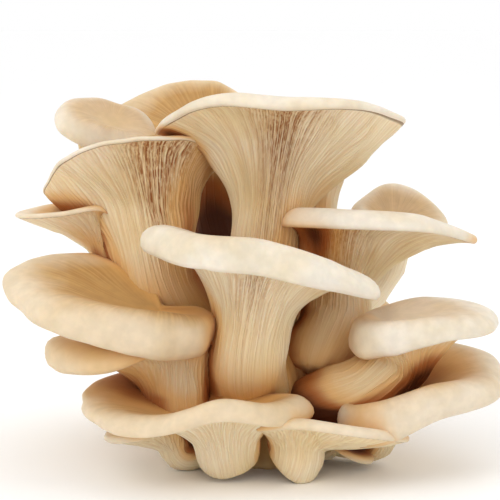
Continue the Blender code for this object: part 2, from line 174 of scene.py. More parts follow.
class Mushroom:
    """One fruit body, in the CAD model's own terms, with the fine look added.

    foot and throat end its stem; reach and lift shape the rim at eight compass points: right, back
    right, back, back left, left, front left, front, front right.
    spacing and relief are its fine gills', and tan is how far its cap darkens towards the middle.
    stains are browned stretches between the gills: where round the cap, how wide, how strong.
    patches of painted shade are red-brown, added to the painted shade in crevices, or taken from it where
    negative: where round the cap, how wide, where along the course, how long, how strong.
    creases are short folds across the margin: where round the cap, how wide, how deep.
    """

    def __init__(self, name, foot, throat, up, rise, reach, lift, stem, dish=8.0, roll=3.0,
                 slope=5.0, edge=3.0, tall=0.55, wide=0.5, way=None, spacing=GILL_SPACING, relief=1.0,
                 tan=1.0, stains=(), shade_patches=(), creases=()):
        self.name = name
        self.foot = np.array(foot, float)
        self.throat = np.array(throat, float)
        self.up = np.array(up, float) / np.linalg.norm(up)
        self.rise = rise
        self.reach = reach
        self.lift = lift
        self.foot_radius, self.throat_radius = stem
        self.dish = dish
        self.roll = roll
        self.slope = slope
        self.edge = edge
        self.tall = tall
        self.wide = wide
        self.way = unit(np.array(way, float)) if way else self.up
        self.spacing = spacing
        self.relief = relief
        self.tan = tan
        self.stains = stains
        self.shade_patches = shade_patches
        self.creases = creases


MUSHROOMS = (
    Mushroom("crown_mushroom", foot=(3, 2, 32), throat=(6, 5, 75), up=(0.12, 0.05, 1.0), rise=48,
             reach=(44, 40, 33, 36, 45, 38, 33, 40), lift=(1, -1, 1, -5, -13, -0.5, 1.5, 5.5),
             stem=(12, 12.5), dish=1, roll=3, edge=(2.5, 2, 2, 2, 2.5, 4.5, 4.9, 3.5),
             slope=(66, 40, 8, 8, 8, 8, 8, 36), tall=(0.6, 0.5, 0.6, 0.6, 0.6, 0.6, 0.6, 0.55),
             wide=(0.74, 0.6, 0.42, 0.42, 0.42, 0.42, 0.42, 0.55), spacing=CLOSE_SPACING,
             stains=((0.755, 0.062, 1.0),),
             shade_patches=((0.63, 0.06, 0.6, 0.4, 0.2), (0.54, 0.05, 0.85, 0.25, 0.2)), tan=0.4),
    Mushroom("front_mushroom", foot=(1, -14, 18), throat=(-1, -29, 49), up=(0.17, 0.0, 1.0), rise=24,
             reach=(39, 26, 14, 26, 38, 35, 30, 35), lift=(-4, -2, -2, -1, -1, -1, 1, -1),
             stem=(13, 13.5), dish=3, edge=(5, 4, 3, 4, 7, 8, 8.5, 7.5), roll=(3, 2, 1, 2, 5, 7, 8, 6),
             slope=-20, spacing=CLOSE_SPACING, stains=((0.74, 0.06, 0.45),), tan=0.15,
             shade_patches=((0.655, 0.006, 1.12, 0.1, 0.22),), creases=((0.655, 0.014, 1.2),)),
    Mushroom("upper_left_mushroom", foot=(-13, 4, 30), throat=(-34, 6, 66), up=(-0.2, 0.28, 1.0),
             rise=36, reach=(30, 20, 13, 18, 33, 36, 30, 30), lift=(-2, -4, -5, -3, -2, 4, 6, 4),
             stem=(12, 14.5), dish=6, edge=1.8, roll=2.5, slope=(20, 20, 20, 30, 60, 38, 22, 20),
             tall=(0.6, 0.5, 0.5, 0.4, 0.3, 0.4, 0.5, 0.55), wide=0.35, spacing=CLOSE_SPACING,
             stains=((0.8, 0.06, 1.2), (0.88, 0.06, 0.8)), tan=0.5,
             shade_patches=((0.93, 0.09, 0.05, 0.5, 0.3), (0.87, 0.07, 0.45, 0.4, 0.2))),
    Mushroom("top_left_mushroom", foot=(-12, 22, 32), throat=(-59, 41, 97), up=(0.36, -0.5, 1.0),
             rise=20, reach=(19, 15, 12, 14, 20, 19, 14, 17), lift=(-2, 0, 0, 0, 0, 0, 0, 0),
             stem=(7.5, 7.5), dish=-5, edge=4, roll=5, slope=-20, tan=0.5),
    Mushroom("top_rear_mushroom", foot=(2, 24, 36), throat=(-14, 45, 98), up=(0.0, -0.4, 1.0), rise=22,
             reach=(13, 17, 23, 33, 39, 30, 19, 13), lift=(-2, 1, 3, 1, -2, -3, -3, -3),
             stem=(10.5, 10), dish=8, edge=2.5, roll=2, spacing=WIDE_SPACING, tan=1.5,
             shade_patches=((0.75, 0.3, -0.5, 0.65, 0.7),)),
    Mushroom("rear_right_mushroom", foot=(9, 20, 34), throat=(27, 38, 88), up=(0.1, 0.2, 1.0), rise=18,
             reach=(10, 15, 20, 19, 15, 11, 9, 9), lift=0, stem=(7, 7.5), dish=4, spacing=WIDE_SPACING),
    Mushroom("rear_mushroom", foot=(4, 24, 27), throat=(4, 43, 54), up=(0.0, 0.35, 1.0), rise=17,
             reach=(27, 28, 26, 26, 25, 18, 12, 18), lift=(0, 0, -1, 0, 0, 0, 0, 0), stem=(8, 8.5),
             dish=4, spacing=WIDE_SPACING),
    Mushroom("rear_left_mushroom", foot=(-9, 23, 22), throat=(-31, 39.5, 43.5), up=(-0.15, 0.3, 1.0),
             rise=16, reach=(15, 20, 25, 27, 24, 16, 11, 12), lift=(0, 0, 0, 1, 0, 0, 0, 0),
             stem=(7.5, 8), dish=4, spacing=WIDE_SPACING),
    Mushroom("rear_lower_mushroom", foot=(14, 22, 17), throat=(30, 39, 33), up=(0.1, 0.3, 1.0), rise=15,
             reach=(21, 26, 27, 22, 16, 11, 10, 13), lift=(0, 1, 0, 0, 0, 0, 0, 0), stem=(7.5, 8),
             dish=3, spacing=WIDE_SPACING),
    Mushroom("rear_low_mushroom", foot=(-4, 25, 9), throat=(-7, 40, 13), up=(0.0, 0.3, 1.0), rise=12,
             reach=(26, 25, 22, 26, 29, 18, 11, 16), lift=0, stem=(7.5, 8.5), dish=2, roll=2.5,
             tall=0.35, spacing=WIDE_SPACING),
    Mushroom("small_left_mushroom", foot=(-22, 12, 24), throat=(-52, 8, 69.5), up=(-0.1, 0.0, 1.0),
             rise=19, reach=(7, 7, 9, 20, 31, 21, 12, 8), lift=(-7, -7, -2, 0, 0, 0, 0, -6),
             stem=(6, 6), dish=2, edge=1.8, roll=1.5, slope=(5, 5, 5, 10, 30, 20, 10, 5), tall=0.3),
    Mushroom("left_shelf_mushroom", foot=(-14, -8, 22), throat=(-34, -17, 40), up=(0.13, -0.3, 1.0),
             rise=17, reach=(16, 11, 11, 40, 53, 41, 26, 22), lift=(-8, -6, -4, 2, 2, 1, -4, -7),
             stem=(9, 9.5), dish=1, edge=(8, 3.5, 3, 3, 3.5, 6, 9, 9), roll=(4, 2, 2, 3, 5, 9, 11, 8),
             slope=(-30, -10, 0, -5, -10, -28, -36, -36), wide=0.3, tan=1.25,
             shade_patches=((0.1, 0.2, 1.9, 0.3, 0.34),)),
    Mushroom("lower_left_mushroom", foot=(-18, -17, 12), throat=(-26, -23, 27), up=(-0.02, 0.0, 1.0),
             rise=15, reach=(14, 13, 14, 30, 43, 32, 20, 16), lift=(0, -2, 0, -3, -5, -3, 5, 4),
             stem=(11, 12.5), dish=5, edge=(3, 3, 3, 5, 8, 7, 4, 3), roll=(2, 2, 2, 3, 4, 4, 2, 2),
             slope=(-5, -5, -5, -10, -25, -20, 0, 0), tall=0.4, tan=1.6),
    Mushroom("bottom_left_mushroom", foot=(-7, -35, 5.5), throat=(-8, -39, 13), up=(-0.1, -0.05, 1.0),
             rise=13, reach=(27, 13, 13, 44, 47, 36, 27, 26), lift=(-6, -3, 0, 5, 2, -1, 2, -4),
             stem=(10, 12), dish=5, edge=(6, 3, 3, 3, 3.5, 4.5, 5.5, 6.5),
             roll=(3, 2, 1, 2, 2, 3, 4, 3), slope=(-15, -10, 0, 5, -5, -15, -18, -18), tall=0.4,
             wide=0.4, tan=1.3, shade_patches=((0.75, 0.4, -0.9, 0.55, 0.24),)),
    Mushroom("bottom_right_mushroom", foot=(15, -36, 5.8), throat=(16.5, -38, 10), up=(0.08, 0.2, 1.0),
             rise=9, reach=(36, 22, 13, 12, 14, 20, 23, 33), lift=(-3, -1, 0, -2, -3, -3, -1, -2),
             stem=(9, 10), dish=1, edge=3.5, roll=2, slope=(15, 5, 0, 0, 0, 0, 5, 10),
             tall=(0.15, 0.3, 0.5, 0.6, 0.7, 0.6, 0.4, 0.2), wide=0.3,
             shade_patches=((0.75, 0.4, -0.9, 0.55, 0.24),)),
    Mushroom("lower_right_mushroom", foot=(21, -10, 8), throat=(45, -22, 12), up=(-0.1, -0.3, 1.0),
             rise=15, reach=(44, 42, 27, 12, 12, 16, 23, 32), lift=(-1, 0, 2, -3, -8, -9.5, -5, 2),
             stem=(6.5, 7.5), dish=4, edge=(5, 3.5, 3, 3.5, 6.5, 9, 9.5, 8),
             roll=(4, 2, 2, 2, 4, 8, 10, 9), slope=(-20, -10, -5, -5, -12, -24, -32, -30), tall=0.3,
             tan=0.8, shade_patches=((0.25, 0.2, 1.75, 0.42, 0.28), (0.55, 0.12, 1.15, 0.4, -0.4))),
    Mushroom("right_mushroom", foot=(15, -20, 20), throat=(50, -26, 36), way=(0.7, -0.1, 0.7),
             up=(-0.18, -0.25, 1.0), rise=11, reach=(38, 28, 20, 13, 12, 13.5, 16, 24),
             lift=(-1, 1, 0, 0, -1, -1, 1.5, 4.5), stem=(9.5, 10.5), dish=-8,
             edge=(4, 4, 4.5, 6, 8, 8.5, 7, 5), roll=(4, 3, 3, 4, 6, 7, 7, 5),
             slope=(-15, -10, -5, -10, -20, -25, -25, -20), tall=0.4, tan=0.15,
             shade_patches=((0.9, 0.12, 0.35, 0.35, 0.22), (0.75, 0.6, -0.9, 0.35, 0.35),
                   (0.97, 0.08, 1.02, 0.07, 0.34))),
    Mushroom("upper_right_mushroom", foot=(22, -10, 30), throat=(31, 5, 55), up=(0.05, 0.06, 1.0),
             rise=27, reach=(49, 35, 19, 18, 19, 27, 32, 41), lift=(-4, -1, 0, 0, -2, 0, 1, 1),
             stem=(14.5, 13.5), dish=3, edge=(3, 3, 3, 3.5, 4, 5, 5, 4.5),
             roll=(3, 3, 2, 3, 4, 6, 6, 5), slope=-5, spacing=CLOSE_SPACING, stains=((0.7, 0.08, 1.2),),
             tan=0.15, shade_patches=((0.67, 0.06, 0.72, 0.36, 0.4), (0.985, 0.05, 1.1, 0.2, 0.46))),
    Mushroom("small_right_mushroom", foot=(16, 24, 30), throat=(54, 46, 66), up=(0.1, -0.3, 1.0),
             rise=17, reach=(20, 18, 17, 16, 15, 12, 10, 14), lift=(-4, 0, 2, 0, -2, -2, -2, -2),
             stem=(7, 7), dish=3, edge=2.5, roll=2.5, slope=-5, spacing=WIDE_SPACING, tan=0.6,
             relief=0.35),
    Mushroom("low_left_mushroom", foot=(-15, -22, 8.6), throat=(-26, -28, 8.6), up=(-0.3, -0.1, 1.0),
             rise=9, reach=(9, 10, 14, 19, 22, 16, 9, 8.5), lift=0, stem=(5, 6), dish=1, edge=2.5,
             roll=1.5, tall=0.12, wide=0.15, shade_patches=((0.65, 0.25, 0.3, 0.7, 0.12),)),
    Mushroom("low_right_mushroom", foot=(19, -16, 6), throat=(28, -23, 6), up=(0.5, -0.2, 1.0), rise=4,
             reach=(14, 10, 7, 5.5, 5.5, 6, 8, 12), lift=0, stem=(3.5, 3.2), dish=0.5, edge=2, roll=1,
             tall=0.3),
)


def compass_value(values, turn):
    """The smooth closed curve through eight compass values, read at each turn (0 right, 0.25 back)."""
    values = np.array(values, float) * np.ones(8)
    count = len(values)
    place = (np.asarray(turn) % 1.0) * count
    before = np.floor(place).astype(int)
    share = place - before
    a, b, c, d = (values[(before + step) % count] for step in (-1, 0, 1, 2))
    return b + 0.5 * share * (c - a + share * (2 * a - 5 * b + 4 * c - d + share * (3 * (b - c) + d - a)))


def bezier(points, share):
    a, b, c, d = points
    rest = 1.0 - share
    return a * rest ** 3 + 3 * b * rest ** 2 * share + 3 * c * rest * share ** 2 + d * share ** 3


def cap_axes(m):
    right = unit(np.array((1.0, 0.0, 0.0)) - m.up[0] * m.up)
    return right, np.cross(m.up, right), m.up


def tilted(vector, start, end):
    """The vectors turned with the shortest turn that brings one unit direction onto another."""
    axis = np.cross(start, end)
    once = np.cross(axis, vector)
    return vector + once + np.cross(axis, once) / (1 + np.dot(start, end))


def stem_ring(m, turn, share):
    """A ring of the stem, share 0 at the foot to 1 at the throat, and its skin's normal."""
    right, back, up = cap_axes(m)
    length = np.linalg.norm(m.throat - m.foot)
    handle = STEM_HANDLE * length
    heading = (m.throat - m.foot) / length
    curve = (m.foot, m.foot + heading * handle, m.throat - m.way * handle, m.throat)
    centre = bezier(curve, share)
    along = unit(bezier(curve, share + TRACK_STEP) - bezier(curve, share - TRACK_STEP))
    radius = m.throat_radius + (m.foot_radius - m.throat_radius) * (1 - share) ** 2
    if share < FOOT_ROUND:
        radius *= FOOT_WIDTH + (1 - FOOT_WIDTH) * math.sqrt(1 - (1 - share / FOOT_ROUND) ** 2)
    angle = 2 * math.pi * turn[:, None]
    outward = tilted(right, up, along) * np.cos(angle) + tilted(back, up, along) * np.sin(angle)
    return centre + outward * radius, outward


def rim(m, turn):
    """The margin's lower edge, the ways outwards there, and its flesh from the lower to the upper edge."""
    right, back, up = cap_axes(m)
    angle = 2 * math.pi * turn[:, None]
    outward = right * np.cos(angle) + back * np.sin(angle)
    reach = compass_value(m.reach, turn)[:, None]
    height = m.rise + compass_value(m.lift, turn)[:, None]
    slope = np.radians(compass_value(m.slope, turn))[:, None]
    along = outward * np.cos(slope) + up * np.sin(slope)
    thick = up * np.cos(slope) - outward * np.sin(slope)
    edge = compass_value(m.edge, turn)[:, None]
    margin = m.throat + outward * reach + up * height - along * (edge * MARGIN_INSET)
    return margin, outward, along, thick * edge, reach


def flare_ring(m, turn, share):
    """A ring of the gilled underside, share 0 at the throat to 1 at the margin, and its skin's normal."""
    right, back, up = cap_axes(m)
    margin, outward, along, _, reach = rim(m, turn)
    neck = m.throat + tilted(outward, up, m.way) * m.throat_radius
    climb = np.dot(margin - m.throat, up)[:, None]
    tall = compass_value(m.tall, turn)[:, None]
    wide = compass_value(m.wide, turn)[:, None]
    curve = (neck, neck + m.way * climb * tall, margin - along * (reach - m.throat_radius) * wide, margin)
    track = unit(bezier(curve, share + TRACK_STEP) - bezier(curve, share - TRACK_STEP))
    angle = 2 * math.pi * turn[:, None]
    around = back * np.cos(angle) - right * np.sin(angle)
    return bezier(curve, share), unit(np.cross(around, track))


def upper_edge(m, turn):
    """Where the margin's rounding ends on the cap, and the shoulder that the cap's skin heads for."""
    margin, _, along, flesh, reach = rim(m, turn)
    edge = margin + flesh
    return edge, edge - along * reach * ROLL_REACH + m.up * compass_value(m.roll, turn)[:, None]


def margin_ring(m, turn, share):
    """A ring of the rounded margin, share 0 at the gills' end to 1 on the cap's upper side."""
    margin, _, along, flesh, _ = rim(m, turn)
    edge, shoulder = upper_edge(m, turn)
    bulge = np.linalg.norm(flesh, axis=1, keepdims=True) * MARGIN_BULGE
    lip = margin + along * bulge - flesh * LIP_DROP
    crown = edge - unit(shoulder - edge) * bulge
    return bezier((margin, lip, crown, edge), share), along


def top_ring(m, turn, share):
    """A ring of the cap's upper side, share 0 at the margin's upper edge to 1 at the middle."""
    _, outward, _, _, reach = rim(m, turn)
    edge, shoulder = upper_edge(m, turn)
    middle = m.throat + m.up * (m.rise - m.dish) + 0 * edge
    around_middle = middle + outward * reach * DISH_REACH
    return bezier((edge, shoulder, around_middle, middle), share), m.up + 0 * edge


def swell(points, draw):
    """Soft unevenness of grown flesh: a few long waves through space, in millimetres."""
    total = np.zeros(points.shape[:-1])
    for wavelength, height in SWELL_WAVES:
        for _ in range(SWELL_REPEATS):
            direction = unit(draw.normal(size=3))
            phase = draw.uniform(0, 2 * math.pi)
            total += height * np.sin(points @ direction * (2 * math.pi / wavelength) + phase)
    return total


class Gills:
    """The fine gills of one mushroom: where each lies round the cap, and how it rises along its course."""

    def __init__(self, m, draw):
        probe = np.arange(256) / 256
        edge = rim(m, probe)[0]
        perimeter = np.linalg.norm(np.roll(edge, -1, axis=0) - edge, axis=1).sum()
        self.count = 4 * round(perimeter / m.spacing / 4)
        self.columns = self.count * GILL_COLUMNS
        index = np.arange(self.count)
        start = np.full(self.count, LONG_GILL_START)
        start[index % 4 == 2] = draw.uniform(*HALF_GILL_START, size=self.count // 4)
        start[index % 2 == 1] = draw.uniform(*SHORT_GILL_START, size=self.count // 2)
        self.start = start
        self.height = draw.uniform(*GILL_HEIGHTS, size=self.count)
        self.phase = draw.uniform(0, 2 * math.pi, size=self.count)
        self.shift = draw.uniform(-GILL_SHIFT, GILL_SHIFT, size=self.count)
        self.bend = draw.uniform(0, 2 * math.pi, size=4)

    def turn(self, course):
        """Each column's place round the cap, with the gills' small shifts and long lazy bends."""
        column = np.arange(self.columns)
        nearest = np.round(column / GILL_COLUMNS).astype(int) % self.count
        off_crest = np.abs(column / GILL_COLUMNS - np.round(column / GILL_COLUMNS))
        place = column / GILL_COLUMNS + self.shift[nearest] * (1 - off_crest)
        turn = place / self.count
        bent = sum(far * np.sin(2 * math.pi * waves * turn + climb * course + phase)
                   for (far, waves, climb), phase in zip(GILL_BENDS, self.bend))
        return turn + bent / self.count

    def valley(self, course):
        """How deep each column lies between the crests: 0 on a full crest, 1 between the gills."""
        grown = np.clip((course - self.start) / GILL_FADE_IN, 0, 1)
        grown = grown * grown * (3 - 2 * grown)
        crest = grown * self.height * (0.9 + 0.1 * np.sin(17 * course + self.phase))
        column = np.arange(self.columns)
        before = column // GILL_COLUMNS
        share = (column % GILL_COLUMNS) / GILL_COLUMNS
        left = crest[before] * np.clip(1 - GILL_STEEPNESS * share, 0, 1)
        right = crest[(before + 1) % self.count] * np.clip(1 - GILL_STEEPNESS * (1 - share), 0, 1)
        return 1 - np.maximum(left, right)


def stations():
    """Every ring of a mushroom's skin: its making function, its share there, and its course."""
    listed = [(stem_ring, share, share - 1) for share in FOOT_SHARES + STEM_SHARES]
    listed += [(flare_ring, share, share) for share in FLARE_SHARES]
    listed += [(margin_ring, share, 1 + (UPPER_EDGE_COURSE - 1) * share) for share in MARGIN_SHARES]
    listed += [(top_ring, share, UPPER_EDGE_COURSE + share) for share in TOP_SHARES]
    return listed


def crease_depth(m, turn, course):
    """How far the short folds across the margin sink at one ring."""
    off = (turn[:, None] - np.array([crease[0] for crease in m.creases]) + 0.5) % 1.0 - 0.5
    width = np.array([crease[1] for crease in m.creases])
    depth = np.array([crease[2] for crease in m.creases])
    fade = math.exp(-((course - CREASE_COURSE) / CREASE_LENGTH) ** 4)
    return (depth * np.exp(-(off / width) ** 2)).sum(axis=1) * fade


def mushroom_skin(m, draw):
    """The skin as a grid of points, ring by ring, with what the materials need to know of each."""
    gills = Gills(m, draw)
    grid, valleys, turns, courses = [], [], [], []
    for make_ring, share, course in stations():
        turn = gills.turn(min(course, 1.0))
        ring, normal = make_ring(m, turn, share)
        valley = gills.valley(course)
        depth = m.relief * np.interp(course, GILL_COURSE, GILL_DEPTH) if course <= 1 else 0.0
        sunk = depth * (valley - GILL_RAISED) + crease_depth(m, turn, course)
        ring = ring - normal * sunk[:, None]
        grid.append(ring)
        valleys.append(valley * (depth > 0) * m.relief)
        turns.append(turn)
        courses.append(np.full(gills.columns, course))
    grid = np.array(grid)
    axis = unit(grid - grid.mean(axis=1, keepdims=True))
    grid = grid + axis * swell(grid, draw)[..., None]
    grid[..., 2] = np.maximum(grid[..., 2], 0.0)
    return grid, np.array(valleys), np.array(turns), np.array(courses)


def directions(count):
    """Directions spread evenly over a whole sphere, on a spiral from pole to pole."""
    height = 1 - (2 * np.arange(count) + 1) / count
    angle = np.arange(count) * math.pi * (3 - math.sqrt(5))
    waist = np.sqrt(1 - height ** 2)
    return np.stack((waist * np.cos(angle), waist * np.sin(angle), height), axis=1)


def coarse(grid):
    """The skin's grid thinned for the crevices, with the rings and columns kept."""
    rings = np.unique(np.append(np.arange(0, len(grid), CREVICE_RINGS), len(grid) - 1))
    columns = np.arange(0, grid.shape[1], CREVICE_COLUMNS)
    return grid[np.ix_(rings, columns)], rings, columns


def cluster_tree(grids):
    """The whole cluster as one coarse body that rays can be cast against."""
    points, faces = [], []
    for grid in grids:
        thin = coarse(grid)[0]
        rings, columns = thin.shape[:2]
        index = np.arange(rings * columns).reshape(rings, columns) + len(points)
        points.extend(map(tuple, thin.reshape(-1, 3)))
        beside = np.roll(index, -1, axis=1)
        corners = np.stack((index[:-1], beside[:-1], beside[1:], index[1:]), axis=-1)
        faces.extend(map(tuple, corners.reshape(-1, 4)))
    return BVHTree.FromPolygons(points, faces)


def crevices(grid, tree):
    """How shut in each point of the skin is by the flesh round it, which sets the painted shade in crevices:
    0 open, 1 deep between neighbouring flesh.
    """
    thin, rings, columns = coarse(grid)
    around = np.roll(thin, -1, axis=1) - np.roll(thin, 1, axis=1)
    outward = np.cross(around, np.gradient(thin, axis=0))
    outward /= np.maximum(np.linalg.norm(outward, axis=-1, keepdims=True), 1e-9)
    feelers = directions(CREVICE_FEELERS)
    facing = outward @ feelers.T
    shut = np.zeros(thin.shape[:2])
    for ring, column in np.ndindex(*shut.shape):
        start = Vector(thin[ring, column] + outward[ring, column] * CREVICE_START)
        for feeler, share in zip(feelers, facing[ring, column]):
            distance = tree.ray_cast(start, Vector(feeler * math.copysign(1, share)), CREVICE_REACH)[3]
            if distance is not None:
                shut[ring, column] += abs(share) * (1 - distance / CREVICE_REACH)
    shut /= np.maximum(np.abs(facing).sum(axis=-1), 1e-9)
    for _ in range(CREVICE_SMOOTHING):
        shut = (2 * shut + np.roll(shut, 1, axis=1) + np.roll(shut, -1, axis=1)) / 4
        level = np.pad(shut, ((1, 1), (0, 0)), mode="edge")
        shut = (2 * shut + level[:-2] + level[2:]) / 4
    shut = np.concatenate((shut, shut[:, :1]), axis=1)
    columns = np.append(columns, grid.shape[1])
    shut = np.array([np.interp(np.arange(grid.shape[1]), columns, row) for row in shut])
    return np.array([np.interp(np.arange(len(grid)), rings, row) for row in shut.T]).T


def drum(name, columns, rings):
    """A closed drum cut into rings in edit mode, with the ring and column of each of its vertices."""
    bpy.ops.object.select_all(action="DESELECT")
    bpy.ops.mesh.primitive_cylinder_add(vertices=columns, radius=1, depth=2, end_fill_type="TRIFAN")
    piece = bpy.context.object
    piece.name = piece.data.name = name
    bpy.ops.object.mode_set(mode="EDIT")
    bpy.ops.mesh.select_all(action="DESELECT")
    shape = bmesh.from_edit_mesh(piece.data)
    for edge in shape.edges:
        edge.select_set(abs(edge.verts[0].co.z - edge.verts[1].co.z) > 1)
    bpy.ops.mesh.subdivide(number_cuts=rings - 2)
    bpy.ops.mesh.select_all(action="DESELECT")
    bpy.ops.object.mode_set(mode="OBJECT")
    places = np.empty(3 * len(piece.data.vertices))
    piece.data.vertices.foreach_get("co", places)
    places = places.reshape(-1, 3)
    level = np.round((places[:, 2] + 1) / 2 * (rings - 1)).astype(int)
    column = np.round(np.arctan2(-places[:, 0], places[:, 1]) / (2 * math.pi) * columns).astype(int) % columns
    on_skin = np.hypot(places[:, 0], places[:, 1]) > 0.5
    return piece, level, column, on_skin


def pull_onto(piece, level, column, on_skin, grid, low_end, high_end):
    """Moves the drum's vertices onto the skin, in millimetres, and its two end points onto theirs."""
    places = grid[level, column]
    places[~on_skin & (level == 0)] = low_end
    places[~on_skin & (level > 0)] = high_end
    piece.data.vertices.foreach_set("co", (places * MM).ravel())
    piece.data.update()


def keep(piece, name, values, kind="FLOAT"):
    """Stores a value for each vertex, for the materials."""
    layer = piece.data.attributes.new(name, kind, "POINT")
    slot = "vector" if kind == "FLOAT_VECTOR" else "value"
    layer.data.foreach_set(slot, np.ravel(values).astype(np.float32))


def stain_mask(m, turns, courses):
    """Where the flesh between the gills has browned: a patch that frays into streaks towards the stem."""
    mask = np.zeros_like(turns)
    for where, width, strength in m.stains:
        off = np.abs((turns - where + 0.5) % 1.0 - 0.5)
        patch = np.exp(-(off / width) ** 2)
        mask += strength * patch * np.clip((courses - STAIN_START) / STAIN_FADE_IN, 0, 1) * (courses < 1)
    return mask


def painted_shade_mask(m, turns, courses):
    """Patches of painted shade, added where the painted shade in crevices alone is too light; a negative
    strength takes some away.
    """
    mask = np.zeros_like(turns)
    for where, width, middle, length, strength in m.shade_patches:
        off = (turns - where + 0.5) % 1.0 - 0.5
        mask += strength * np.exp(-(off / width) ** 2 - ((courses - middle) / length) ** 2)
    return mask


def make_mushroom(m, skin, tree, skin_material, gill_material):
    """A drum pulled onto the mushroom's skin, with what its materials read, in the CAD node's place."""
    grid, valleys, turns, courses = skin
    piece, level, column, on_skin = drum(m.name.replace("_mushroom", "_oyster"), grid.shape[1], len(grid))
    pull_onto(piece, level, column, on_skin, grid, grid[0].mean(axis=0), grid[-1].mean(axis=0))
    keep(piece, "valley", np.where(on_skin, valleys[level, column], 0))
    keep(piece, "course", courses[level, column])
    keep(piece, "stain", stain_mask(m, turns, courses)[level, column])
    # Painted shade: how shut in the skin is, with the patches of painted shade added, for the materials to
    # darken by.
    keep(piece, "crevice", (crevices(grid, tree) + painted_shade_mask(m, turns, courses))[level, column])
    keep(piece, "tan", np.full(len(level), m.tan))
    angle = 2 * math.pi * turns[level, column]
    streak = (STREAK_RADIUS * np.cos(angle), STREAK_RADIUS * np.sin(angle), courses[level, column])
    keep(piece, "streak", np.stack(streak, axis=1), "FLOAT_VECTOR")
    piece.data.materials.append(gill_material)
    piece.data.materials.append(skin_material)
    margin_level = len(FOOT_SHARES + STEM_SHARES + FLARE_SHARES) - 1
    corner = np.empty(len(piece.data.loops), int)
    piece.data.loops.foreach_get("vertex_index", corner)
    first = np.empty(len(piece.data.polygons), int)
    piece.data.polygons.foreach_get("loop_start", first)
    lowest = np.minimum.reduceat(level[corner], first)
    piece.data.polygons.foreach_set("material_index", (lowest >= margin_level).astype(np.int32))
    piece.data.shade_smooth()
    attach(piece, "root")
    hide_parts(m.name)
    return piece


def make_butt(tree, material):
    """The grown-together stem bases: a lumpy dome with ribs where stems ran together, cut flat below."""
    piece, level, column, on_skin = drum("butt_flesh", BUTT_COLUMNS, BUTT_RINGS)
    angle = 2 * math.pi * np.arange(BUTT_COLUMNS)[None, :] / BUTT_COLUMNS
    climb = np.linspace(0, 1, BUTT_RINGS)[:, None] * BUTT_DOME
    waist = np.cos(climb) ** BUTT_FULLNESS
    lump = sum(high * np.sin(count * angle + twist * climb) for high, count, twist in BUTT_LUMPS)
    grid = np.stack(((BUTT_RADIUS[0] + lump) * waist * np.cos(angle),
                     (BUTT_RADIUS[1] + lump) * waist * np.sin(angle),
                     BUTT_HEIGHT * np.sin(climb) + 0 * angle), axis=-1) + np.array(BUTT_CENTRE)
    uneven = swell(grid, np.random.default_rng(SEED))[..., None] * np.array((1.0, 1.0, 0.0))
    grid = grid + unit(grid - np.array(BUTT_HEART)) * uneven
    top = np.array((*BUTT_CENTRE[:2], BUTT_HEIGHT))
    pull_onto(piece, level, column, on_skin, grid, np.array(BUTT_CENTRE), top)
    # Painted shade: how shut in the butt is, for its material to darken by.
    keep(piece, "crevice", crevices(grid, tree)[level, column])
    piece.data.materials.append(material)
    piece.data.shade_smooth()
    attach(piece, "root")
    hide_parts("butt")
    return piece


def colour(hex_code):
    """An sRGB hex colour as the linear colour that Blender's sockets take."""
    parts = [int(hex_code[i:i + 2], 16) / 255 for i in (1, 3, 5)]
    return (*(c / 12.92 if c <= 0.04045 else ((c + 0.055) / 1.055) ** 2.4 for c in parts), 1.0)


def add(tree, kind, inputs=None, output=0, **settings):
    """Adds a node, sets its properties, sets or links its inputs, and gives one of its outputs."""
    made = tree.nodes.new("ShaderNode" + kind)
    for name, value in settings.items():
        setattr(made, name, value)
    for socket, value in (inputs or {}).items():
        if isinstance(value, bpy.types.NodeSocket):
            tree.links.new(value, made.inputs[socket])
        else:
            made.inputs[socket].default_value = value
    return made.outputs[output]


def new_material(name, roughness, subsurface, sheen=0.0):
    """Mushroom flesh: watery, so light goes a few millimetres into it, and its red part the farthest."""
    material = bpy.data.materials.new(name)
    material.use_nodes = True
    shader = material.node_tree.nodes["Principled BSDF"]
    shader.inputs["Roughness"].default_value = roughness
    shader.inputs["IOR"].default_value = 1.4
    shader.inputs["Subsurface Weight"].default_value = subsurface
    shader.inputs["Subsurface Radius"].default_value = (1.0, 0.55, 0.25)
    shader.inputs["Subsurface Scale"].default_value = 0.003
    shader.inputs["Sheen Weight"].default_value = sheen
    shader.inputs["Sheen Roughness"].default_value = 0.6
    return material, material.node_tree, shader


def paint_shade_in_crevices(tree, flesh):
    """Painted shade on flesh deep between its neighbours: it turns tan, then red-brown, then nearly black."""
    crevice = add(tree, "Attribute", output="Fac", attribute_name="crevice")
    for low, high, full, hex_code in CREVICE_SHADE_COLOURS:
        share = add(tree, "MapRange", {0: crevice, 1: low, 2: high, 4: full}, **SOFT)
        flesh = add(tree, "Mix", {0: share, 6: flesh, 7: colour(hex_code)}, 2, **COLOURS)
    return flesh


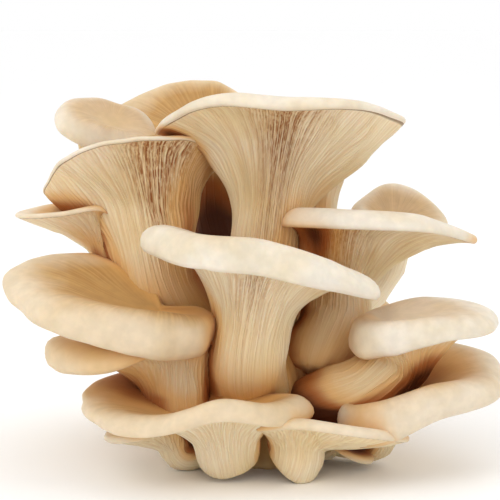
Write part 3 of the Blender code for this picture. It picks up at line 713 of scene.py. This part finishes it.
def cap_skin():
    """Oyster mushroom cap skin: dry and velvety, cream on the rolled margin, ochre with fine rays inwards."""
    material, tree, shader = new_material("oyster_cap_skin", roughness=0.6, subsurface=0.2, sheen=0.06)
    place = add(tree, "TexCoord", output="Object")
    streak = add(tree, "Attribute", output="Vector", attribute_name="streak")
    course = add(tree, "Attribute", output="Fac", attribute_name="course")
    tan = add(tree, "Attribute", output="Fac", attribute_name="tan")
    clouds = add(tree, "TexNoise", {"Vector": place, "Scale": SKIN_PATCHES, "Detail": 4.0})
    mottle = add(tree, "TexNoise", {"Vector": place, "Scale": SKIN_SPECKS, "Detail": 3.0})
    rays = add(tree, "TexNoise", {"Vector": streak, "Scale": SKIN_RAYS, "Detail": 4.0})

    # The margin: cream in soft patches, yellower on the caps with more tan.
    patchy = add(tree, "MapRange", {0: clouds, 1: 0.35, 2: 0.7}, **SOFT)
    pale = add(tree, "Mix", {0: patchy, 6: colour("#EBE4D7"), 7: colour("#E2D6BE")}, 2, **COLOURS)
    yellowed = add(tree, "Math", {0: tan, 1: 0.42}, operation="MULTIPLY")
    cream = add(tree, "Mix", {0: yellowed, 6: pale, 7: colour("#D9B983")}, 2, **COLOURS)

    # The middle: ochre with rays that fade inwards.
    outer = add(tree, "MapRange", {0: course, 1: 1.65, 2: 2.15, 3: 0.75, 4: 0.15}, **SOFT)
    fine = add(tree, "MapRange", {0: rays, 1: 0.3, 2: 0.72}, **SOFT)
    rayed = add(tree, "Math", {0: fine, 1: outer}, operation="MULTIPLY")
    ochre = add(tree, "Mix", {0: rayed, 6: colour("#C89F62"), 7: colour("#AE7F43")}, 2, **COLOURS)

    # From one to the other, along a wandering line.
    wander = add(tree, "Math", {0: clouds, 1: 0.5, 2: course}, operation="MULTIPLY_ADD")
    inward = add(tree, "MapRange", {0: wander, 1: 1.4, 2: 1.92}, **SOFT)
    full = add(tree, "Math", {0: tan, 1: 0.55, 2: 0.4}, operation="MULTIPLY_ADD")
    tanned = add(tree, "Math", {0: inward, 1: full}, operation="MULTIPLY", use_clamp=True)
    flesh = add(tree, "Mix", {0: tanned, 6: cream, 7: ochre}, 2, **COLOURS)
    specks = add(tree, "MapRange", {0: mottle, 1: 0.3, 2: 0.75, 3: 0.94, 4: 1.04}, **SOFT)
    skin = add(tree, "Mix", {0: 1.0, 6: flesh, 7: specks}, 2, blend_type="MULTIPLY", **COLOURS)
    # Painted shade where neighbouring flesh shuts the cap skin in.
    tree.links.new(paint_shade_in_crevices(tree, skin), shader.inputs["Base Color"])
    velvet = add(tree, "Bump", {"Height": mottle, "Strength": 0.25, "Distance": 0.0004})
    tree.links.new(velvet, shader.inputs["Normal"])
    return material


def gill_flesh():
    """Oyster mushroom gills and stem: moist, translucent cream crests, with painted ochre shade between them
    and brown stains in places.
    """
    material, tree, shader = new_material("oyster_gill_flesh", roughness=0.62, subsurface=0.25)
    place = add(tree, "TexCoord", output="Object")
    streak = add(tree, "Attribute", output="Vector", attribute_name="streak")
    course = add(tree, "Attribute", output="Fac", attribute_name="course")
    valley = add(tree, "Attribute", output="Fac", attribute_name="valley")
    stain = add(tree, "Attribute", output="Fac", attribute_name="stain")
    clouds = add(tree, "TexNoise", {"Vector": place, "Scale": GILL_PATCHES, "Detail": 3.0})
    fibres = add(tree, "TexNoise", {"Vector": streak, "Scale": GILL_FIBRES, "Detail": 4.0})

    # Cream crests with painted ochre shade between them, deeper where the gills are deep; yellower and more
    # fibrous down the stem.
    patchy = add(tree, "MapRange", {0: clouds, 1: 0.33, 2: 0.68}, **SOFT)
    crest = add(tree, "Mix", {0: patchy, 6: colour("#F1E5CB"), 7: colour("#EBD8AF")}, 2, **COLOURS)
    between = add(tree, "Mix", {0: fibres, 6: colour("#E3C99E"), 7: colour("#CBA36A")}, 2, **COLOURS)
    gilled = add(tree, "MapRange", {0: course, 1: -0.6, 2: 0.4, 3: 0.2, 4: 0.45}, **SOFT)
    depth = add(tree, "Math", {0: valley, 1: gilled}, operation="MULTIPLY")
    flesh = add(tree, "Mix", {0: depth, 6: crest, 7: between}, 2, **COLOURS)
    stemward = add(tree, "MapRange", {0: course, 1: -0.1, 2: -0.9, 4: 0.5}, **SOFT)
    low = add(tree, "Mix", {0: stemward, 6: flesh, 7: colour("#E8CB90")}, 2, **COLOURS)
    threads = add(tree, "MapRange", {0: fibres, 1: 0.42, 2: 0.62, 4: 0.22}, **SOFT)
    fibrous = add(tree, "Mix", {0: threads, 6: low, 7: colour("#C0935A")}, 2, **COLOURS)

    # Stains: frayed patches, with broken brown dashes sunk between the gills.
    frayed = add(tree, "MapRange", {0: fibres, 1: 0.34, 2: 0.58, 3: 0.1}, **SOFT)
    patch = add(tree, "Math", {0: stain, 1: frayed}, operation="MULTIPLY", use_clamp=True)
    dashed = add(tree, "Mapping", {"Vector": streak, "Scale": (1.0, 1.0, 9.0)})
    dashes = add(tree, "TexNoise", {"Vector": dashed, "Scale": GILL_DASHES, "Detail": 2.0})
    broken = add(tree, "MapRange", {0: dashes, 1: 0.4, 2: 0.56, 3: 0.3}, **SOFT)
    warmth = add(tree, "Math", {0: patch, 1: broken}, operation="MULTIPLY")
    tinted = add(tree, "Math", {0: warmth, 1: 0.6}, operation="MULTIPLY")
    warmed = add(tree, "Mix", {0: tinted, 6: fibrous, 7: colour("#BE8445")}, 2, **COLOURS)
    sunk = add(tree, "Math", {0: warmth, 1: valley}, operation="MULTIPLY")
    browned = add(tree, "Mix", {0: sunk, 6: warmed, 7: colour("#8A4A12")}, 2, **COLOURS)

    # Painted shade: a thin dark line under the margin's lip, where the gills end.
    off_line = add(tree, "Math", {0: course, 1: 0.995}, operation="SUBTRACT")
    away = add(tree, "Math", {0: off_line}, operation="ABSOLUTE")
    near = add(tree, "MapRange", {0: away, 1: 0.02, 2: 0.004, 4: 0.75}, **SOFT)
    lip_shaded = add(tree, "Mix", {0: near, 6: browned, 7: colour("#6A4A28")}, 2, **COLOURS)
    # Painted shade where neighbouring flesh shuts the gills and stem in.
    tree.links.new(paint_shade_in_crevices(tree, lip_shaded), shader.inputs["Base Color"])
    grain = add(tree, "Bump", {"Height": fibres, "Strength": 0.35, "Distance": 0.0006})
    tree.links.new(grain, shader.inputs["Normal"])
    return material


def butt_flesh():
    """The butt: tough fibrous flesh, duller and browner than the stems."""
    material, tree, shader = new_material("oyster_butt_flesh", roughness=0.7, subsurface=0.15)
    place = add(tree, "TexCoord", output="Object")
    clouds = add(tree, "TexNoise", {"Vector": place, "Scale": BUTT_BLOTCHES, "Detail": 5.0})
    patchy = add(tree, "MapRange", {0: clouds, 1: 0.32, 2: 0.7}, **SOFT)
    flesh = add(tree, "Mix", {0: patchy, 6: colour("#CBB085"), 7: colour("#8A5F34")}, 2, **COLOURS)
    # Painted shade where the stems shut the butt in.
    tree.links.new(paint_shade_in_crevices(tree, flesh), shader.inputs["Base Color"])
    rough = add(tree, "Bump", {"Height": clouds, "Strength": 0.6, "Distance": 0.001})
    tree.links.new(rough, shader.inputs["Normal"])
    return material


def make_floor():
    """White paper that goes on past the picture, for the cluster to stand on."""
    bpy.ops.object.select_all(action="DESELECT")
    bpy.ops.mesh.primitive_circle_add(vertices=96, radius=FLOOR_RADIUS, fill_type="NGON")
    floor = bpy.context.object
    floor.name = "pale_floor"
    material = bpy.data.materials.new("white_paper_sweep")
    material.use_nodes = True
    shader = material.node_tree.nodes["Principled BSDF"]
    shader.inputs["Base Color"].default_value = colour("#FFFFFF")
    shader.inputs["Roughness"].default_value = 0.9
    floor.data.materials.append(material)


def area_light(name, place, aim, size, power, tint):
    light = bpy.data.lights.new(name, "AREA")
    light.shape = "DISK"
    light.size = size
    light.energy = power
    light.color = colour(tint)[:3]
    lamp = bpy.data.objects.new(name, light)
    lamp.location = place
    lamp.rotation_euler = (Vector(aim) - Vector(place)).to_track_quat("-Z", "Y").to_euler()
    bpy.context.scene.collection.objects.link(lamp)


def make_lights():
    world = bpy.data.worlds.new("white_studio")
    world.use_nodes = True
    background = world.node_tree.nodes["Background"]
    background.inputs["Color"].default_value = colour("#FFFFFF")
    background.inputs["Strength"].default_value = 1.0
    bpy.context.scene.world = world
    # The photograph's own plain colours: pale flesh keeps its warmth, and white paper stays white.
    bpy.context.scene.view_settings.view_transform = "Standard"
    aim = (0.0, 0.0, 0.07)
    area_light("soft_key", (-0.5, -0.7, 0.9), aim, size=0.6, power=2.4, tint="#FFF8EE")
    area_light("top_fill", (0.3, 0.1, 1.1), aim, size=0.9, power=1.2, tint="#FFFFFF")


def make_camera():
    data = bpy.data.cameras.new("photograph_view")
    data.lens = CAMERA_LENS
    data.clip_start = 0.01
    camera = bpy.data.objects.new("photograph_view", data)
    back = Vector((0.0, -math.cos(CAMERA_HEIGHT), math.sin(CAMERA_HEIGHT)))
    camera.location = CAMERA_TARGET + back * CAMERA_DISTANCE
    camera.rotation_euler = (-back).to_track_quat("-Z", "Y").to_euler()
    bpy.context.scene.collection.objects.link(camera)
    bpy.context.scene.camera = camera


make_camera()
make_lights()
make_floor()
cap_material = cap_skin()
gill_material = gill_flesh()
skins = [mushroom_skin(m, np.random.default_rng(SEED + sum(map(ord, m.name)))) for m in MUSHROOMS]
cluster = cluster_tree([skin[0] for skin in skins])
make_butt(cluster, butt_flesh())
for mushroom, skin in zip(MUSHROOMS, skins):
    make_mushroom(mushroom, skin, cluster, cap_material, gill_material)
